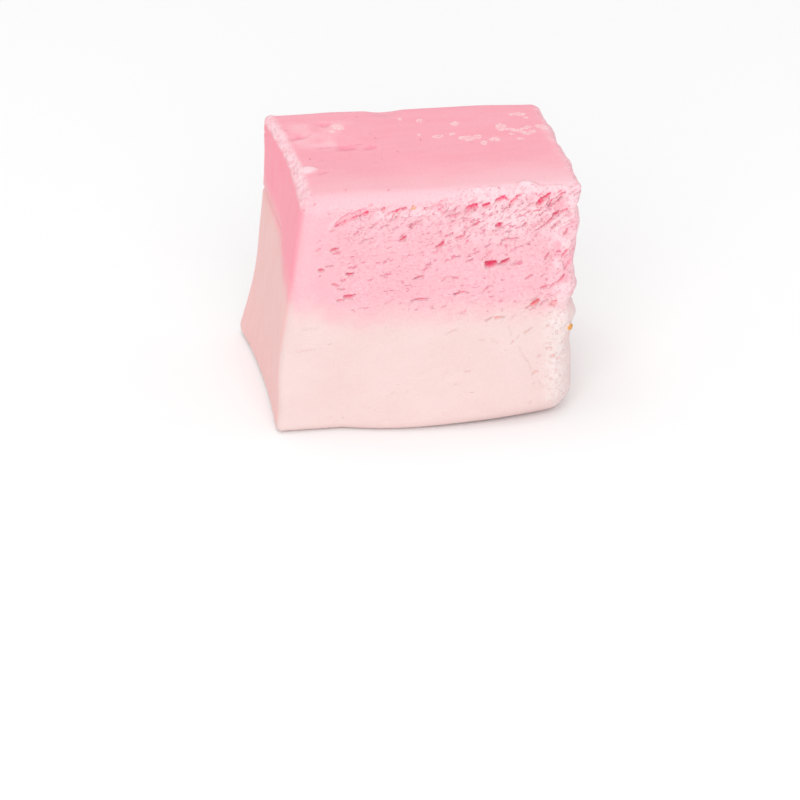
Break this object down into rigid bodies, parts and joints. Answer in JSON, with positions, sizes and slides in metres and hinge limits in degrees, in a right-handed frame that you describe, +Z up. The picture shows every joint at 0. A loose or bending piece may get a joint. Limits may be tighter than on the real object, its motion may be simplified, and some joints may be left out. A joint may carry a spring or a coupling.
{
  "type": "two-layer fudge cube",
  "caption": "Cube of two-layer fudge, pink over cream, with a smooth top, a clean cut left side and torn, pitted other sides.",
  "frame": {"origin": "middle of the box round the cube, at the height of the surface that it rests on", "axes": "+X to the right along the torn front, +Y from the front to the back, +Z up from the cream foot to the pink top"},
  "size_m": [0.0317, 0.026, 0.0264],
  "materials": {
    "pink_fudge": "smooth and faintly waxy on top and on the cut side, dry and crumbly where torn, deeper pink inside the tears",
    "cream_fudge": "smooth and dull, finely pitted, fading into the pink where the layers meet"
  },
  "bodies": {
    "root": {"cream_layer": "cream_fudge", "pink_layer": "pink_fudge"}
  },
  "joints": []
}
